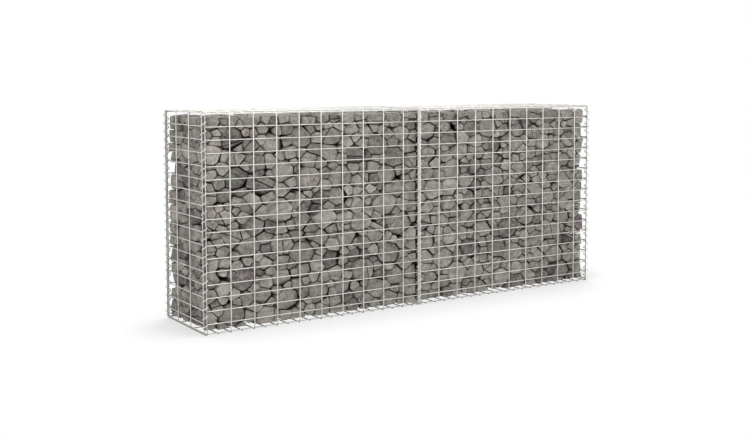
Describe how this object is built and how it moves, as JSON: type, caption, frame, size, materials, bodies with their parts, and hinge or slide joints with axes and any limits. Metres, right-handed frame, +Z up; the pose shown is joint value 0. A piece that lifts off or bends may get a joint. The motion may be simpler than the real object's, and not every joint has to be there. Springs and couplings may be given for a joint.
{
  "type": "gabion wall",
  "caption": "Free-standing gabion wall of welded-mesh baskets with covers, laced at the corners by wire spirals and filled with broken stone.",
  "frame": {"origin": "centre of the footprint, on the ground under the base meshes", "axes": "+X along the wall, +Y from the front to the back, +Z up"},
  "size_m": [2.0032, 0.3952, 0.8521],
  "materials": {
    "mesh_wire": "galvanised welded wire",
    "spiral_wire": "galvanised wire",
    "stone": "rough broken stone"
  },
  "bodies": {
    "root": {"base_panel_left": "mesh_wire", "base_panel_right": "mesh_wire", "front_panel_left": "mesh_wire", "front_panel_right": "mesh_wire", "back_panel_left": "mesh_wire", "back_panel_right": "mesh_wire", "end_panel_left": "mesh_wire", "end_panel_right": "mesh_wire", "divider_panel": "mesh_wire", "lid_panel_left": "mesh_wire", "lid_panel_right": "mesh_wire", "spiral_front_left": "spiral_wire", "spiral_front_middle": "spiral_wire", "spiral_front_right": "spiral_wire", "spiral_back_left": "spiral_wire", "spiral_back_middle": "spiral_wire", "spiral_back_right": "spiral_wire", "rock_fill_left": "stone", "rock_fill_right": "stone"}
  },
  "joints": []
}
